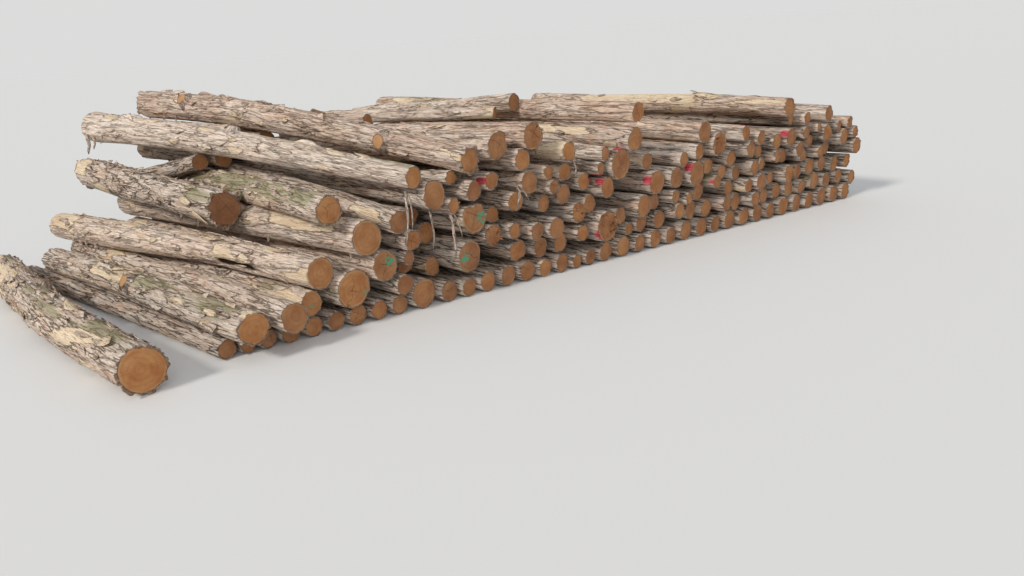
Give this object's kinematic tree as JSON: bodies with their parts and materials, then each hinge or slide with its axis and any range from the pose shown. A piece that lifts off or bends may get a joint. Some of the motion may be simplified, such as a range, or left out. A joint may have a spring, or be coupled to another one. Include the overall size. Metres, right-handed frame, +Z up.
{
  "type": "heap of logs",
  "caption": "Long low heap of crooked sawn hardwood logs with bark, lying one on another with their sawn ends along one face, for woodland, yard and sawmill scenes.",
  "frame": {"origin": "middle of the heap's outline, on the floor", "axes": "+X along the face of sawn ends from its low left end to its far right end, +Y from that face towards the back of the heap, +Z up"},
  "size_m": [6.5682, 3.2762, 1.3388],
  "materials": {
    "bark_wood": "rough bark with sawn ends"
  },
  "bodies": {
    "root": {"back_logs_high": "bark_wood", "back_logs_low": "bark_wood", "bare_patched_log": "bark_wood", "ground_logs_far": "bark_wood", "ground_logs_left": "bark_wood", "ground_logs_middle": "bark_wood", "ground_logs_right": "bark_wood", "jagged_bark_log": "bark_wood", "knobbly_log": "bark_wood", "long_log": "bark_wood", "lower_logs_far": "bark_wood", "lower_logs_left": "bark_wood", "lower_logs_middle": "bark_wood", "lower_logs_right": "bark_wood", "middle_logs_far": "bark_wood", "middle_logs_left": "bark_wood", "middle_logs_middle": "bark_wood", "middle_logs_right": "bark_wood", "mossy_log": "bark_wood", "pale_ended_log": "bark_wood", "raised_logs_far": "bark_wood", "raised_logs_left": "bark_wood", "raised_logs_middle": "bark_wood", "raised_logs_right": "bark_wood", "short_log": "bark_wood", "smooth_log": "bark_wood", "spilled_log": "bark_wood", "thin_log": "bark_wood", "top_logs_far": "bark_wood", "top_logs_middle": "bark_wood", "top_logs_right": "bark_wood", "twisted_log": "bark_wood", "upper_logs_far": "bark_wood", "upper_logs_middle": "bark_wood", "upper_logs_right": "bark_wood"}
  },
  "joints": []
}
